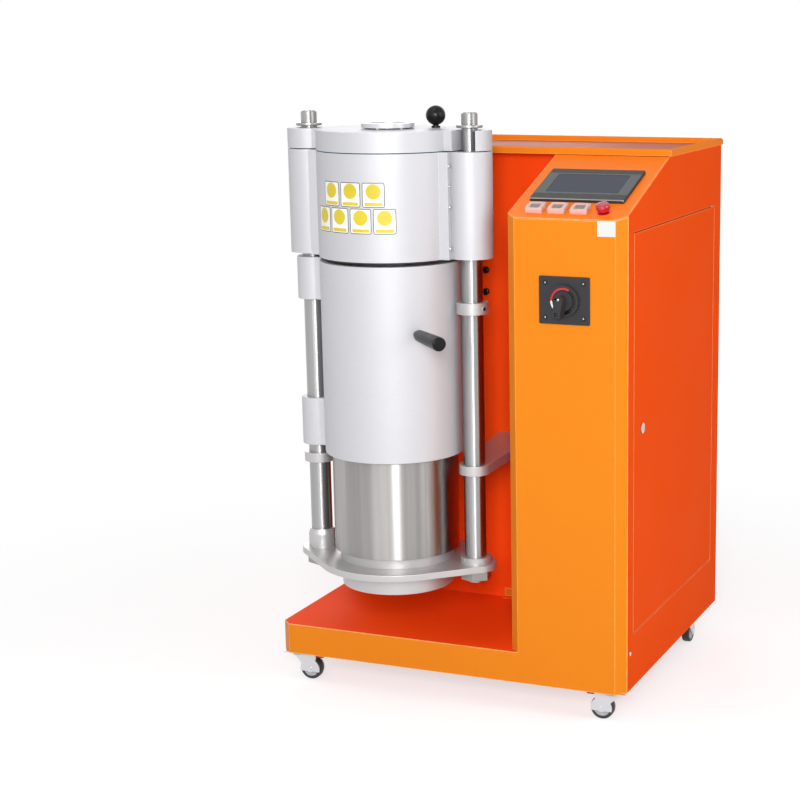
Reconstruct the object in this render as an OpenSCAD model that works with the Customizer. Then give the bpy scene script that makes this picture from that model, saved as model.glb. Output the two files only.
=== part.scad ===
// Jewelry vacuum casting machine: a sheet-steel cabinet on casters with a control
// tower on its right, and a two-part casting vessel on two steel columns in the bay
// beside the tower. Millimetres, +Z up, front towards -Y. The origin lies on the
// floor, under the middle of the machine's plan.

/* [Cabinet] */
// Width of the cabinet over its side panels
cab_w = 790; // [740:5:1000]
// Depth of the cabinet from the front panel to the back panel
cab_d = 670; // [560:5:820]
// Height of the flat roof above the cabinet's underside
cab_h = 1070; // [960:5:1290]
// Width of the control tower
tower_w = 252; // [236:2:304]
// Depth of the open bay beside the tower
bay_d = 340; // [300:5:410]
// Height of the box under the bay
base_h = 66; // [54:1:80]
// Thickness of the sheet steel
sheet = 2; // [1.5:0.5:3]
// Width of the chamfer on the upright corners
corner = 20; // [10:1:28]
// Depth of the sloped control panel, front to back
slope_d = 288; // [240:2:330]
// Height by which the sloped control panel rises
slope_drop = 103; // [60:1:124]

/* [Tray] */
// Height of the rim round the top tray
rim_h = 14; // [12:1:18]
// Thickness of the rolled rim
rim_t = 8; // [5:1:10]
// How far the tray stands out past the cabinet
tray_over = 3; // [2:1:6]

/* [Door] */
// Distance from the front plane to the door's front edge
door_front = 56; // [48:1:80]
// Distance from the back plane to the door's rear edge
door_rear = 50; // [40:1:70]
// Height of the door's lower edge above the underside
door_low = 115; // [96:1:150]
// Height left above the door's top edge, up to the roof
door_top = 132; // [110:1:170]
// Gap round the door
door_gap = 2; // [1.5:0.5:3]
// Depth of the door's folded flange
door_flange = 16; // [12:1:20]

/* [Columns and vessel] */
// Distance between the two column axes
col_gap = 360; // [352:2:400]
// Radius of the columns
col_r = 22.5; // [16:0.5:23]
// Radius of the columns' threaded ends
stud_r = 16.5; // [11:0.5:17]
// Distance of the column axes behind the front plane
col_set = 41; // [30:1:90]
// Outer radius of the vessel
vessel_r = 146; // [120:1:148]
// Wall thickness of the flask chamber
flask_wall = 14; // [10:1:18]
// Height of the flask chamber
flask_h = 400; // [330:5:480]
// Height of the melting chamber
melt_h = 213; // [176:1:256]
// Wall thickness of the melting chamber
melt_wall = 26; // [20:1:30]
// Thickness of the lid
lid_t = 40; // [30:1:48]
// Radius of the lugs of the melting chamber and the lid
lug_r = 45; // [38:1:48]
// Radius of the flask chamber's hinge knuckles
knuckle_r = 34; // [30:1:38]
// Gap between the flask chamber and the melting chamber when lowered
open_gap = 9; // [7:1:14]
// Height by which the vessel seal hangs into that gap
seal_drop = 3; // [2:0.5:4]

/* [Lift] */
// How much smaller the lift cylinder's radius is than the vessel's
lift_step = 14; // [8:1:20]
// Wall thickness of the lift cylinder
lift_wall = 5; // [4:0.5:8]
// Thickness of the yoke plate that joins the columns
yoke_t = 14; // [10:1:18]
// How far the yoke plate's round middle stands out past the vessel
yoke_over = 20; // [0:1:24]
// Radius of the yoke plate's ends
yoke_end_r = 43; // [38:1:48]
// Clear height between the bay floor and the yoke plate
yoke_clear = 160; // [120:2:170]
// Height of the base ring on the yoke plate
ring_h = 22; // [18:1:40]
// Thickness of the cap under the yoke plate
cap_h = 42; // [18:1:50]

/* [Controls] */
// Width of the touch screen's frame
hmi_w = 200; // [170:2:204]
// Height of the touch screen's frame
hmi_h = 146; // [130:1:160]
// Width of the lit screen
screen_w = 154; // [130:1:160]
// Height of the lit screen
screen_h = 86; // [72:1:96]
// Side of a push button's bezel
button_w = 36; // [30:1:38]
// Distance between the push buttons
button_pitch = 47; // [42:1:50]
// Radius of the emergency stop's head
stop_r = 14; // [11:0.5:16]
// Width of the main switch's plate
plate_w = 106; // [90:1:124]
// Height of the main switch's plate
plate_h = 95; // [80:1:112]
// Radius of the main switch's dial
dial_r = 32; // [26:1:36]
// Distance of the main switch below the front's top edge
switch_drop = 160.5; // [130:0.5:200]

/* [Casters] */
// Height of the casters, floor to cabinet underside
caster_h = 65; // [60:1:78]
// Radius of the caster wheels
wheel_r = 25; // [20:1:27]
// Width of the caster wheels
wheel_w = 18; // [15:1:22]
// Distance of the wheel's axle behind the swivel axis
trail = 26; // [20:1:30]
// Distance of the swivel axes from the cabinet's sides
caster_in = 31; // [30:1:60]
// Distance of the rear swivel axes from the back plane
caster_rear = 144; // [80:2:200]

/* [Hidden] */
$fn = 64;
run = 0.05;            // radial clearance of a running fit
free = 0.4;            // gap between bodies that pass each other
eps = 0.01;            // overlap of cutters past the faces they cut

// The handle on the flask chamber
handle_len = 130;
handle_r = 14;
handle_end_r = 12;     // radius of its end face
handle_a = 45;         // its direction, from straight ahead towards the right
handle_z = 264;        // its height above the flask chamber's underside
port_len = 34;         // how far the hose tails stand out at the back

front_reach = (vessel_r + handle_len) * cos(handle_a) + handle_end_r * sin(handle_a) - col_set;

right = cab_w / 2;
left = -cab_w / 2;
tower_x = right - tower_w;
front = (front_reach - cab_d - port_len) / 2;
back = front + cab_d;
under = caster_h;
roof = under + cab_h;
front_top = roof - slope_drop;
slope_a = atan(slope_drop / slope_d);
slope_len = slope_d / cos(slope_a);
bend = sheet * tan(22.5);
bay_y = front + bay_d;
bay_z = under + base_h;
base_t = 3;

// Heights of the vessel's stack, from the yoke plate up to the lid
lid_clear = 9;
lid_gap = 2.2;
rest_gap = 2;
col_y = front + col_set;
vessel_x = (left + tower_x) / 2;
col_right = vessel_x + col_gap / 2;
col_left = vessel_x - col_gap / 2;
yoke_z = bay_z + yoke_clear;
ring_z = yoke_z + yoke_t;
lift_z = ring_z + ring_h;
lid_z = roof + rim_h + lid_clear;
lid_top = lid_z + lid_t;
melt_r = vessel_r - melt_wall;
lift_r = vessel_r - lift_step;
melt_z = lid_z - lid_gap - melt_h;
flask_top = melt_z - open_gap;
flask_z = flask_top - flask_h;
lift_top = flask_z - rest_gap;
lift_in = lift_r - lift_wall;
stud_top = lid_top + 35;
washer_z = lid_top + 4;

red_orange = [0.93, 0.36, 0.10];
orange = [0.97, 0.54, 0.14];
alu = [0.82, 0.82, 0.84];
steel = [0.68, 0.67, 0.65];
black = [0.12, 0.12, 0.13];

// ---------- helpers ----------

// A flat plate standing in the YZ plane, its outline given as [y, z] from the
// cabinet's lower front edge, its lower x face at x
module side_sheet(x, t) {
    translate([x, front, under]) rotate([90, 0, 90]) linear_extrude(t) children();
}

// A flat plate facing front, its outline given as [x, z], its front face at y
module front_sheet(y, t) {
    translate([0, y + t, 0]) rotate([90, 0, 0]) linear_extrude(t) children();
}

// Places its children on the sloped panel: x across, s up the slope from its lower
// edge, z out of the panel
module on_slope(x, s) {
    translate([x, front, front_top]) rotate([slope_a, 0, 0]) translate([0, s, 0]) children();
}

module rounded_square(w, h, r) {
    union() {
        square([w - 2 * r, h], center = true);
        square([w, h - 2 * r], center = true);
        for (sx = [-1, 1], sy = [-1, 1])
            translate([sx * (w / 2 - r), sy * (h / 2 - r)]) circle(r, $fn = 32);
    }
}

module tube(r_out, r_in, h) {
    difference() {
        cylinder(h = h, r = r_out);
        translate([0, 0, -eps]) cylinder(h = h + 2 * eps, r = r_in);
    }
}

module at_column(x, z) {
    translate([x, col_y, z]) children();
}

module at_vessel(z) {
    translate([vessel_x, col_y, z]) children();
}

// Plan of a wall w wide, sheet thick, with a chamfer at each end of its front
module chamfered_wall(w) {
    c = corner;
    polygon([
        [0, c + bend], [0, c], [c, 0], [w - c, 0], [w, c], [w, c + bend],
        [w - sheet, c + bend], [w - c - bend, sheet], [c + bend, sheet],
        [sheet, c + bend]
    ]);
}

// ---------- cabinet ----------

module base_plate() {
    c = corner + sheet;
    color(red_orange) translate([0, 0, under]) linear_extrude(base_t) polygon([
        [left + c, front + sheet], [right - c, front + sheet],
        [right - sheet, front + c], [right - sheet, back - sheet],
        [left + sheet, back - sheet], [left + sheet, front + c]
    ]);
}

module front_panel() {
    seam = 0.2;            // gap under the sloped panel
    cut = 4 * corner;
    color(orange) union() {
        translate([left, front, under]) linear_extrude(base_h) chamfered_wall(cab_w);
        difference() {
            translate([tower_x, front, bay_z]) linear_extrude(front_top + corner - bay_z)
                chamfered_wall(tower_w);
            on_slope(tower_x - cut, -cut) translate([0, 0, -sheet - seam])
                cube([tower_w + 2 * cut, 3 * cut, cut]);
        }
    }
}

module bay_floor() {
    c = corner + sheet;
    color(red_orange) translate([0, 0, bay_z - sheet]) linear_extrude(sheet) polygon([
        [left + c, front + sheet], [tower_x + corner - sheet, front + sheet],
        [tower_x, front + corner], [tower_x, bay_y],
        [left + sheet, bay_y], [left + sheet, front + c]
    ]);
}

// Height of the sloped edge above the underside, at a distance y behind the front
function slope_at(y) = cab_h - slope_drop + y * slope_drop / slope_d;

module tower_inner_wall() {
    y0 = corner + bend;
    color(red_orange) side_sheet(tower_x, sheet) polygon([
        [y0, base_h], [bay_d, base_h], [bay_d, cab_h], [slope_d, cab_h],
        [y0, slope_at(y0)]
    ]);
}

module bay_back_wall() {
    w = tower_x - left;
    tab_w = 19;
    tab_d = 14;
    tab_h = 21;
    color(red_orange) union() {
        translate([left + sheet, bay_y, bay_z]) cube([w, sheet, roof - bay_z]);
        // folded tabs at the wall's foot that tie it to the bay floor
        for (x = [vessel_x + 121, tower_x - tab_w - 1])
            translate([x, bay_y - tab_d, bay_z]) difference() {
                cube([tab_w, tab_d + sheet, tab_h]);
                translate([-eps, -sheet, sheet]) cube([tab_w + 2 * eps, tab_d, tab_h]);
            }
    }
}

door_h0 = door_low;
door_h1 = cab_h - door_top;
door_y0 = door_front;
door_y1 = cab_d - door_rear;
strike_z = (door_h0 + door_h1) / 2 + 10;
strike_x = 17;

module right_panel() {
    y0 = corner + bend;
    color(red_orange) union() {
        side_sheet(right - sheet, sheet) difference() {
            polygon([
                [y0, 0], [cab_d, 0], [cab_d, cab_h], [slope_d, cab_h], [y0, slope_at(y0)]
            ]);
            translate([door_y0, door_h0]) square([door_y1 - door_y0, door_h1 - door_h0]);
        }
        // strike that the lock's cam turns behind
        translate([right - sheet - strike_x, front + door_y0 - 16, under + strike_z - 18])
            cube([strike_x, 14, 36]);
    }
}

module left_panel() {
    y0 = corner + bend;
    color(red_orange) side_sheet(left, sheet) polygon([
        [y0, 0], [cab_d, 0], [cab_d, cab_h], [bay_d, cab_h], [bay_d, base_h], [y0, base_h]
    ]);
}

fan_r = 56;
fan_x = right - 150;
fan_z = under + 780;
port_x = [for (i = [0:3]) left + 110 + 60 * i];
port_z = under + 180;
gland_x = right - 150;
gland_z = under + 180;

module back_panel() {
    color(red_orange) front_sheet(back - sheet, sheet) difference() {
        translate([left + sheet, under]) square([cab_w - 2 * sheet, cab_h]);
        translate([fan_x, fan_z]) circle(fan_r + 2);
        for (x = port_x) translate([x, port_z]) circle(8.2);
        translate([gland_x, gland_z]) circle(11.2);
        for (col = [0:1], row = [0:9])
            translate([left + 150 + 110 * col, under + 700 + 18 * row]) square([80, 6]);
        for (row = [0:5])
            translate([right - 190, under + 300 + 18 * row]) square([80, 6]);
    }
}

hmi_s = 74 + hmi_h / 2;
hmi_x = (tower_x + right) / 2;
hmi_t = 6;
row_s = 37;
row_x = tower_x + 54;
stop_x = row_x + 3 * button_pitch + 2;
stop_base = 1;
cap_w = button_w - 12;

module control_panel() {
    c = corner;
    cs = corner / cos(slope_a);
    color(orange) on_slope(tower_x, 0) translate([0, 0, -sheet]) linear_extrude(sheet)
        difference() {
            polygon([
                [c, 0], [tower_w - c, 0], [tower_w - sheet, cs - sheet],
                [tower_w - sheet, slope_len - rim_t / 2],
                [sheet, slope_len - rim_t / 2], [sheet, cs - sheet]
            ]);
            translate([hmi_x - tower_x, hmi_s]) square([hmi_w - 12, hmi_h - 12], center = true);
            for (i = [0:2])
                translate([row_x - tower_x + i * button_pitch, row_s])
                    square([cap_w + 1, cap_w + 1], center = true);
            translate([stop_x - tower_x, row_s - 4]) circle(8.2);
        }
}

module top_tray() {
    x0 = left - tray_over;
    x1 = right + tray_over;
    y0 = front + slope_d - tray_over;
    y1 = back + tray_over;
    r = rim_t / 2;
    zr = roof + rim_h - r;
    color(orange) difference() {
        union() {
            translate([x0, y0, roof]) cube([x1 - x0, y1 - y0, rim_h - r]);
            for (y = [y0 + r, y1 - r])
                translate([x0 + r, y, zr]) rotate([0, 90, 0]) cylinder(h = x1 - x0 - rim_t, r = r);
            for (x = [x0 + r, x1 - r])
                translate([x, y0 + r, zr]) rotate([-90, 0, 0]) cylinder(h = y1 - y0 - rim_t, r = r);
            for (x = [x0 + r, x1 - r], y = [y0 + r, y1 - r])
                translate([x, y, zr]) sphere(r);
        }
        translate([x0 + rim_t, y0 + rim_t, roof + sheet])
            cube([x1 - x0 - 2 * rim_t, y1 - y0 - 2 * rim_t, rim_h]);
    }
}

// ---------- controls ----------

module hmi_frame() {
    color(black) on_slope(hmi_x, hmi_s) difference() {
        union() {
            linear_extrude(hmi_t) rounded_square(hmi_w, hmi_h, 4);
            translate([0, 0, -34]) linear_extrude(34 + eps)
                square([hmi_w - 16, hmi_h - 16], center = true);
        }
        translate([0, 4, hmi_t - 1]) linear_extrude(2)
            square([screen_w + 0.2, screen_h + 0.2], center = true);
    }
}

module hmi_screen() {
    color([0.3, 0.32, 0.38]) on_slope(hmi_x, hmi_s + 4) translate([0, 0, hmi_t - 1])
        linear_extrude(0.8) square([screen_w, screen_h], center = true);
}

module button_bezels() {
    color([0.9, 0.75, 0.72]) {
        for (i = [0:2]) on_slope(row_x + i * button_pitch, row_s) difference() {
            union() {
                linear_extrude(9) rounded_square(button_w, button_w - 2, 4);
                translate([0, 0, -22]) linear_extrude(22 + eps)
                    square([cap_w, cap_w], center = true);
            }
            translate([0, 0, -18]) linear_extrude(40)
                square([cap_w - 3, cap_w - 3], center = true);
        }
        on_slope(stop_x, row_s - 4) difference() {
            union() {
                cylinder(h = stop_base, r = stop_r - 1);
                translate([0, 0, -30]) cylinder(h = 30 + eps, r = 8);
            }
            translate([0, 0, -24]) cylinder(h = 40, r = 5 + run);
        }
    }
}

module button_cap(i) {
    color([0.75, 0.76, 0.78]) on_slope(row_x + i * button_pitch, row_s) union() {
        translate([0, 0, 4]) linear_extrude(3.4)
            rounded_square(cap_w - 4, cap_w - 4, 2);
        translate([0, 0, -12]) cylinder(h = 16 + eps, r = 6);
    }
}

module button_1() { button_cap(0); }
module button_2() { button_cap(1); }
module button_3() { button_cap(2); }

module stop_head() {
    head_z = stop_base + 3.2;
    color([0.85, 0.08, 0.12]) on_slope(stop_x, row_s - 4) union() {
        translate([0, 0, -16]) cylinder(h = 16 + head_z + eps, r = 5);
        translate([0, 0, head_z]) rotate_extrude() polygon([
            [0, 0], [stop_r - 2, 0], [stop_r - 1, 1], [stop_r - 1, 5], [stop_r, 6],
            [stop_r, 11], [stop_r - 2, 14], [stop_r - 6, 15], [0, 15]
        ]);
    }
}

switch_x = (tower_x + right) / 2 + 1;
switch_z = front_top - switch_drop;
plate_t = 3;
plate_screw = 13;      // plate screws' distance from the plate's edges
spindle_r = 5;
dial_h = 9;
dial_floor = 7;        // height of the dial's sunk face above the plate
handle_tilt = 10;

module switch_plate() {
    color(black) union() {
        translate([switch_x, 0, switch_z]) front_sheet(front - plate_t, plate_t) difference() {
            rounded_square(plate_w, plate_h, 3);
            circle(spindle_r + run);
            for (sx = [-1, 1], sz = [-1, 1])
                translate([sx * (plate_w / 2 - plate_screw), sz * (plate_h / 2 - plate_screw)])
                    circle(2.2, $fn = 24);
        }
        translate([switch_x, front - plate_t + eps, switch_z]) rotate([90, 0, 0]) difference() {
            cylinder(h = dial_h, r = dial_r);
            translate([0, 0, dial_floor]) cylinder(h = dial_h, r = dial_r - 5);
            translate([0, 0, -1]) cylinder(h = dial_h + 2, r = spindle_r + run);
        }
    }
}

module switch_handle() {
    disc_z = dial_floor + free;
    grip_z = disc_z + 2;
    grip_w = 17;
    grip_h = 27;
    grip_low = 30;         // how far the grip reaches below the spindle
    grip_up = 4;           // and above it, up to its round end
    lock_w = 7;            // side of the padlock slot in the grip's face
    color(black) translate([switch_x, front - plate_t, switch_z])
        rotate([90, handle_tilt, 0]) difference() {
            union() {
                cylinder(h = disc_z + eps, r = spindle_r);
                translate([0, 0, disc_z]) cylinder(h = grip_z - disc_z + eps, r = dial_r - 12);
                translate([0, 0, grip_z]) linear_extrude(grip_h) union() {
                    translate([0, grip_up]) circle(grip_w / 2);
                    translate([-grip_w / 2, -grip_low]) square([grip_w, grip_low + grip_up]);
                }
            }
            translate([-lock_w / 2, 3 - grip_low, grip_z + grip_h - 5]) cube([lock_w, lock_w, 10]);
        }
}

module cover_screws() {
    color(steel) {
        // pan heads on the main switch's plate
        for (sx = [-1, 1], sz = [-1, 1])
            translate([switch_x + sx * (plate_w / 2 - plate_screw), front - plate_t,
                       switch_z + sz * (plate_h / 2 - plate_screw)])
                rotate([90, 0, 0]) {
                    translate([0, 0, -8]) cylinder(h = 8, r = 2, $fn = 24);
                    cylinder(h = 2.2, r = 4, $fn = 24);
                }
        // bolts in the bay's back wall, behind the vessel
        for (x = [-84, 84], below = [67, 115])
            translate([vessel_x + x, bay_y, melt_z - below]) rotate([90, 0, 0])
                cylinder(h = 9, r = 8);
        // clamp screws in the flat beside the right lug
        for (dz = [22, 105, 186])
            translate([col_right - web_in, col_y - web_half + 7, melt_z + dz])
                rotate([0, 90, 0]) cylinder(h = 2.5, r = 4, $fn = 24);
    }
}

// ---------- columns and yoke ----------

nut_h = 22;
nut_turn = -20;
brace_h = 20;
brace_z = flask_z - 39;
clamp_h = 23.5;
clamp_z = melt_z - 113.5;
clamp_r = min(33, col_gap / 2 - vessel_r - 1);

module column(x) {
    z0 = yoke_z - nut_h - 6;
    color(steel) at_column(x, 0) union() {
        translate([0, 0, z0]) cylinder(h = ring_z - z0 + eps, r = stud_r);
        translate([0, 0, ring_z]) cylinder(h = lid_z - lid_gap - ring_z, r = col_r);
        translate([0, 0, lid_z - lid_gap - eps])
            cylinder(h = stud_top - 3 - lid_z + lid_gap, r = stud_r);
        translate([0, 0, stud_top - 3 - eps]) cylinder(h = 3, r1 = stud_r, r2 = stud_r - 3);
    }
}

module column_left() { column(col_left); }
module column_right() { column(col_right); }

module column_nuts() {
    color(steel) for (x = [col_left, col_right]) {
        at_column(x, yoke_z - nut_h) difference() {
            rotate([0, 0, nut_turn]) cylinder(h = nut_h, r = 2 * stud_r, $fn = 6);
            translate([0, 0, -eps]) cylinder(h = nut_h + 1, r = stud_r + run);
        }
        at_column(x, washer_z) tube(stud_r + 10, stud_r + run, 6);
    }
}

module column_collars() {
    sleeve_r = col_r + 6.5;
    sleeve_h = 28;
    taper_h = 12;
    collar_h = 13;
    color(alu) {
        // tapered sleeve at the left column's foot
        at_column(col_left, ring_z) difference() {
            union() {
                cylinder(h = sleeve_h, r = sleeve_r);
                translate([0, 0, sleeve_h - eps])
                    cylinder(h = taper_h, r1 = sleeve_r, r2 = sleeve_r - 4);
            }
            translate([0, 0, -eps]) cylinder(h = sleeve_h + taper_h + 1, r = col_r + run);
        }
        // flat collar at the right column's foot
        at_column(col_right, ring_z) tube(col_r + 9.5, col_r + run, collar_h);
        // stop ring on the right column, with its set screw
        at_column(col_right, clamp_z) difference() {
            union() {
                cylinder(h = clamp_h, r = clamp_r);
                rotate([0, 90, screw_a]) translate([-clamp_h / 2, 0, col_r + 4])
                    cylinder(h = clamp_r + 1 - col_r - 4, r = 4, $fn = 32);
            }
            translate([0, 0, -eps]) cylinder(h = clamp_h + 1, r = col_r + run);
        }
    }
}

screw_a = -21;         // direction of the stop ring's set screw, from straight right
yoke_r = vessel_r + yoke_over;
yoke_lean = asin((yoke_r - yoke_end_r) / (col_gap / 2));
rod_r = 30;

module yoke_plate() {
    // the flanks start just inside the round ends, so that they meet them cleanly
    wide = yoke_r - 0.4;
    narrow = yoke_end_r - 0.4;
    half = col_gap / 2;
    color(alu) at_vessel(yoke_z) difference() {
        union() {
            cylinder(h = yoke_t, r = yoke_r, $fn = 128);
            for (s = [-1, 1]) translate([s * half, 0, 0]) cylinder(h = yoke_t, r = yoke_end_r);
            for (s = [-1, 1]) linear_extrude(yoke_t) polygon([
                [0, wide * cos(yoke_lean)],
                [s * wide * sin(yoke_lean), wide * cos(yoke_lean)],
                [s * (half + narrow * sin(yoke_lean)), narrow * cos(yoke_lean)],
                [s * (half + narrow * sin(yoke_lean)), -narrow * cos(yoke_lean)],
                [s * wide * sin(yoke_lean), -wide * cos(yoke_lean)],
                [0, -wide * cos(yoke_lean)]
            ]);
        }
        for (s = [-1, 1]) translate([s * half, 0, -1]) cylinder(h = yoke_t + 2, r = stud_r + run);
        translate([0, 0, -1]) cylinder(h = yoke_t + 2, r = rod_r + 4);
    }
}

module base_ring() {
    spigot_h = 22;
    color(alu) at_vessel(ring_z) difference() {
        union() {
            cylinder(h = ring_h + eps, r = lift_r - 11);
            translate([0, 0, ring_h]) cylinder(h = spigot_h, r = lift_in - run);
        }
        translate([0, 0, -eps]) cylinder(h = ring_h + spigot_h + 1, r = rod_r + run);
    }
}

module bottom_cap() {
    color(alu) at_vessel(yoke_z - cap_h) difference() {
        cylinder(h = cap_h, r = lift_r - 14);
        translate([0, 0, 8]) cylinder(h = cap_h, r = rod_r + 4);
    }
}

module lift_cylinder() {
    color(steel) at_vessel(lift_z) tube(lift_r, lift_in, lift_top - lift_z);
}

module lift_ram() {
    rod_low = ring_z + 12;
    piston_z = lift_top - 14;
    pad_z = lift_top - 5;
    color(alu) at_vessel(0) union() {
        translate([0, 0, rod_low]) cylinder(h = piston_z + 2 - rod_low, r = rod_r);
        translate([0, 0, piston_z]) cylinder(h = 10, r = lift_in - 0.1);
        translate([0, 0, pad_z]) cylinder(h = flask_z - free - pad_z, r = lift_in - 20);
    }
}

module wall_braces() {
    reach = bay_y - col_y;
    eye_r = 32;
    flank = eye_r - 1;
    foot_in = 70;
    foot_out = 20;
    color(alu) for (s = [-1, 1])
        translate([vessel_x + s * col_gap / 2, col_y, brace_z]) linear_extrude(brace_h)
            difference() {
                union() {
                    circle(eye_r);
                    polygon([
                        [-s * flank, 0], [s * flank, 0], [s * foot_out, reach],
                        [-s * foot_in, reach]
                    ]);
                }
                circle(col_r + run);
            }
}

// ---------- vessel ----------

web_half = 55;
web_in = 25;
melt_floor = 20;
seal_out = vessel_r - 3;
seal_in = vessel_r - 12;
groove_d = 4;

// Plan of the melting chamber: a disc with a lug round each column
module vessel_plan(half) {
    union() {
        circle(vessel_r, $fn = 128);
        for (s = [-1, 1]) {
            translate([s * col_gap / 2, 0]) circle(lug_r);
            translate([s > 0 ? 0 : -(col_gap / 2 - web_in), -half])
                square([col_gap / 2 - web_in, 2 * half]);
        }
    }
}

module melting_chamber() {
    color(alu) at_vessel(melt_z) difference() {
        linear_extrude(melt_h) vessel_plan(web_half);
        translate([0, 0, melt_floor]) cylinder(h = melt_h, r = melt_r);
        translate([0, 0, -1]) cylinder(h = melt_floor + 2, r = crucible_foot - 10);
        for (s = [-1, 1]) translate([s * col_gap / 2, 0, -1])
            cylinder(h = melt_h + 2, r = col_r + run);
        // passage for the coil's leads
        for (x = [-lead_x, lead_x]) translate([x, melt_r - 10, lead_z]) rotate([-90, 0, 0])
            cylinder(h = 60, r = 7);
        // groove of the vessel seal
        translate([0, 0, -eps]) tube(seal_out, seal_in, groove_d + eps);
    }
}

module vessel_seal() {
    color(black) at_vessel(melt_z - seal_drop) tube(seal_out, seal_in, groove_d + seal_drop);
}

module lid_seal() {
    color([0.1, 0.45, 0.5]) at_vessel(lid_z - lid_gap)
        tube(vessel_r - 0.4, melt_r + 6, lid_gap - free);
}

coil_r = melt_r - 42;
coil_t = 10;
coil_turns = 7;
coil_pitch = 17;
lead_x = 16;
lead_z = 60;

module induction_coil() {
    z0 = melt_floor + 20;
    out = coil_r + coil_t / 2;
    color([0.8, 0.5, 0.3]) at_vessel(melt_z + z0) union() {
        for (i = [0:coil_turns - 1]) translate([0, 0, i * coil_pitch])
            tube(out, out - coil_t, coil_t);
        // crossovers that join each turn to the next
        for (i = [0:coil_turns - 2]) rotate([0, 0, 200 + 16 * (i % 2)])
            translate([out - coil_t, -6, i * coil_pitch + 1]) cube([coil_t - 1, 12, coil_pitch]);
        // leads through the chamber's rear wall
        for (x = [-lead_x, lead_x]) translate([x, coil_r - 4, lead_z - z0]) rotate([-90, 0, 0])
            cylinder(h = vessel_r - coil_r + 20, r = 5);
    }
}

crucible_r = coil_r - 16;
crucible_foot = crucible_r - 18;
crucible_h = 158;

module crucible() {
    cup_r = crucible_r - 11;
    hole_r = 9;
    color([0.22, 0.22, 0.24]) at_vessel(melt_z + melt_floor) rotate_extrude() polygon([
        [hole_r, 0], [crucible_foot, 0], [crucible_foot, 14], [crucible_r, 14],
        [crucible_r, crucible_h], [cup_r, crucible_h], [cup_r, 36],
        [cup_r / 2 + 5, 24], [hole_r, 20]
    ]);
}

module lid() {
    half = col_gap / 2;
    mouth = stud_r + 1.5;
    web = 38;
    color(alu) at_vessel(lid_z) difference() {
        union() {
            cylinder(h = lid_t, r = vessel_r, $fn = 128);
            for (s = [-1, 1]) translate([s * half, 0, 0]) cylinder(h = lid_t, r = lug_r);
            translate([-half + web_in, -web, 0]) cube([2 * half - web_in - mouth, 2 * web, lid_t]);
        }
        translate([-half, 0, -1]) cylinder(h = lid_t + 2, r = stud_r + run);
        // open hook that lets the lid swing back off the right column
        translate([half, 0, -1]) cylinder(h = lid_t + 2, r = mouth);
        translate([half, 0, -1]) linear_extrude(lid_t + 2)
            polygon([[-mouth, 0], [-mouth - 6, -60], [34, -60], [mouth, 0]]);
        translate([0, 0, -1]) cylinder(h = lid_t + 2, r = sight_r - 14);
    }
}

sight_r = 54;
sight_gap = 3;
ring_t = 9;

module sight_ring() {
    color(alu) at_vessel(lid_top) difference() {
        union() {
            translate([0, 0, sight_gap]) cylinder(h = ring_t, r = sight_r);
            for (a = [30:60:330]) rotate([0, 0, a]) translate([sight_r - 6, 0, 0])
                cylinder(h = sight_gap + eps, r = 2.5, $fn = 24);
        }
        translate([0, 0, -1]) cylinder(h = 20, r = sight_r - 17);
        translate([0, 0, sight_gap - eps]) cylinder(h = 3.2, r = sight_r - 13.8);
    }
}

module sight_glass() {
    color([0.6, 0.75, 0.8]) at_vessel(lid_top - 3) cylinder(h = sight_gap + 5.8, r = sight_r - 14.2);
}

knob_reach = vessel_r - 48;
knob_a = 33.4;
knob_r = 20;
knob_stem = 25;

module lid_knob() {
    color(black) at_vessel(lid_top) rotate([0, 0, knob_a]) translate([knob_reach, 0, 0])
        union() {
            cylinder(h = 4, r = 9);
            cylinder(h = knob_stem, r = 6);
            translate([0, 0, knob_stem]) sphere(knob_r);
        }
}

knuckle_h = [101, 89];
flask_floor = 20;
web_flask = 28;

module flask_chamber() {
    color(alu) at_vessel(flask_z) difference() {
        union() {
            cylinder(h = flask_h, r = vessel_r, $fn = 128);
            for (k = [0, flask_h - knuckle_h[1]]) translate([0, 0, k])
                linear_extrude(k == 0 ? knuckle_h[0] : knuckle_h[1]) union() {
                    translate([-col_gap / 2, 0]) circle(knuckle_r);
                    translate([-col_gap / 2 + 12, -web_flask])
                        square([col_gap / 2 - 12, 2 * web_flask]);
                }
        }
        translate([0, 0, flask_floor]) cylinder(h = flask_h, r = vessel_r - flask_wall, $fn = 128);
        translate([-col_gap / 2, 0, -1]) cylinder(h = flask_h + 2, r = col_r + run);
    }
}

module flask_handle() {
    color(black) at_vessel(flask_z + handle_z) rotate([0, 0, handle_a - 90])
        translate([vessel_r - 1, 0, 0]) rotate([0, 90, 0]) rotate_extrude() polygon([
            [0, 0], [7, 0], [7, 12], [11, 14], [12, 20], [handle_r, handle_len - 20],
            [handle_r, handle_len - 1], [handle_end_r, handle_len + 1], [0, handle_len + 1]
        ]);
}

// ---------- door ----------

pivot_in = 5;          // pivot axis, inside the door's outer face
pivot_y = door_y1 - door_gap - 5.5;
pin_r = 3;
lock_y = door_front + 53;

module side_door() {
    y0 = door_y0 + door_gap;
    y1 = door_y1 - door_gap;
    z0 = door_h0 + door_gap;
    z1 = door_h1 - door_gap;
    color(red_orange) difference() {
        union() {
            side_sheet(right - sheet, sheet) translate([y0, z0]) square([y1 - y0, z1 - z0]);
            side_sheet(right - door_flange, door_flange - eps) difference() {
                translate([y0, z0]) square([y1 - y0, z1 - z0]);
                translate([y0 + sheet, z0 + sheet])
                    square([y1 - y0 - 2 * sheet, z1 - z0 - 2 * sheet]);
            }
        }
        translate([right - pivot_in, front + pivot_y, under + z0 - 1])
            cylinder(h = z1 - z0 + 2, r = pin_r + run);
        translate([right - 5, front + lock_y, under + strike_z]) rotate([0, 90, 0])
            cylinder(h = 10, r = 9 + run);
    }
}

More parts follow.
